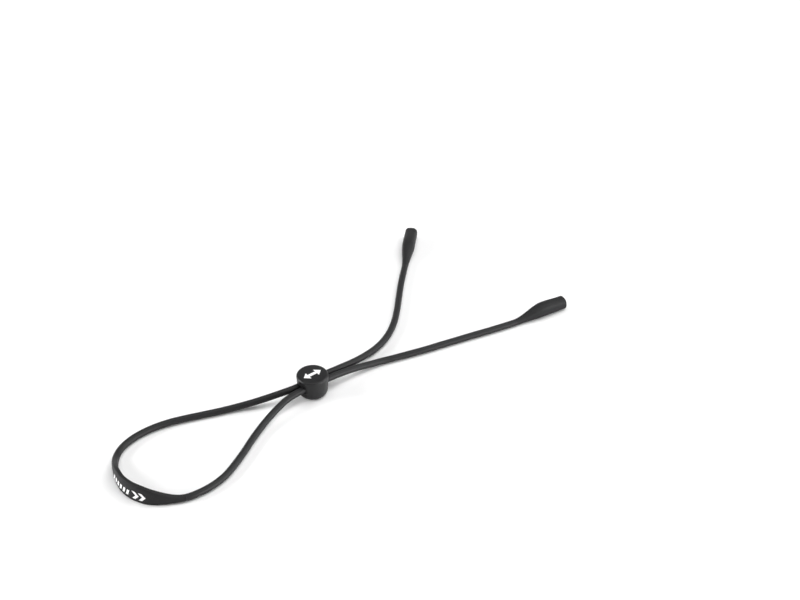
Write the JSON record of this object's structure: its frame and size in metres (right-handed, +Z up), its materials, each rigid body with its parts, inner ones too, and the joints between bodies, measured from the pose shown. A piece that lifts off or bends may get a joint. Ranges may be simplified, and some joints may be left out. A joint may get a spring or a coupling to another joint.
{
  "type": "eyeglasses retainer cord",
  "caption": "Round elastomer eyeglasses cord with hollow temple sleeves, a flat neck band on edge and a round friction slider that closes the loop, laid flat.",
  "frame": {"origin": "middle of the slider's flat base, on the floor that the strap lies on", "axes": "+X is the way the slider travels towards the temple sleeves, +Y is the wearer's left, +Z is up from the floor"},
  "size_m": [0.2607, 0.1087, 0.0115],
  "materials": {
    "silicone": "matte",
    "slider_plastic": "matte",
    "grip_rubber": "matte",
    "white_print": "matte"
  },
  "bodies": {
    "strap": {"left_temple_sleeve": "silicone", "right_temple_sleeve": "silicone", "left_cord": "silicone", "right_cord": "silicone", "neck_band": "silicone"},
    "slider": {"slider_shell": "slider_plastic", "slider_base_plug": "slider_plastic", "slider_grip_pad": "grip_rubber"}
  },
  "joints": [
    {"name": "slider_slide", "type": "slide", "parent": "strap", "child": "slider", "axis": [1, 0, 0], "range_m": [-0.04, 0.04], "deforming": ["left_cord", "right_cord"]}
  ]
}
